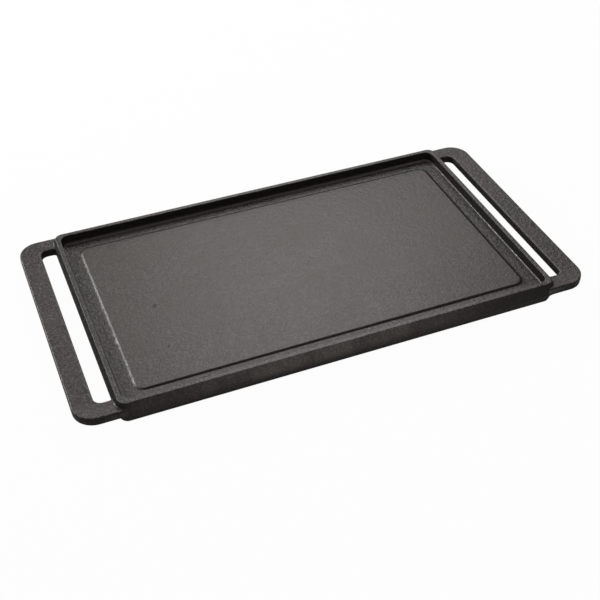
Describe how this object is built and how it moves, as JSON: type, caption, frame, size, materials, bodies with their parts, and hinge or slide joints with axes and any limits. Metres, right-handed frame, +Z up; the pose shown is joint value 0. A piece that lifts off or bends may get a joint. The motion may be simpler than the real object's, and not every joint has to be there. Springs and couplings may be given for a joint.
{
  "type": "camp griddle plate",
  "caption": "Rectangular cast iron griddle plate with a raised cooking field, a grease gutter inside a low rim, a slotted loop handle at each end and grill ribs underneath.",
  "frame": {"origin": "middle of the footprint, on the plane that the foot of the walls rests on", "axes": "+X along the length towards the right-hand handle, +Y towards the rear wall, +Z up out of the cooking field"},
  "size_m": [0.508, 0.262, 0.024],
  "materials": {
    "seasoned_iron": "sand-cast grain under a dark baked-oil seasoning, satin",
    "cooking_field": "finer sand-cast grain, seasoned, satin and slightly lighter than the rest"
  },
  "bodies": {
    "root": {"griddle_floor": "seasoned_iron", "cooking_plateau": "cooking_field", "front_wall": "seasoned_iron", "rear_wall": "seasoned_iron", "left_wall": "seasoned_iron", "right_wall": "seasoned_iron", "front_left_corner": "seasoned_iron", "front_right_corner": "seasoned_iron", "rear_left_corner": "seasoned_iron", "rear_right_corner": "seasoned_iron", "left_handle_bar": "seasoned_iron", "right_handle_bar": "seasoned_iron", "left_handle_front_arm": "seasoned_iron", "left_handle_rear_arm": "seasoned_iron", "right_handle_front_arm": "seasoned_iron", "right_handle_rear_arm": "seasoned_iron", "grill_rib_1": "seasoned_iron", "grill_rib_2": "seasoned_iron", "grill_rib_3": "seasoned_iron", "grill_rib_4": "seasoned_iron", "grill_rib_5": "seasoned_iron", "grill_rib_6": "seasoned_iron", "grill_rib_7": "seasoned_iron", "grill_rib_8": "seasoned_iron", "grill_rib_9": "seasoned_iron", "grill_rib_10": "seasoned_iron", "grill_rib_11": "seasoned_iron", "grill_rib_12": "seasoned_iron", "grill_rib_13": "seasoned_iron", "grill_rib_14": "seasoned_iron", "grill_rib_15": "seasoned_iron"}
  },
  "joints": []
}
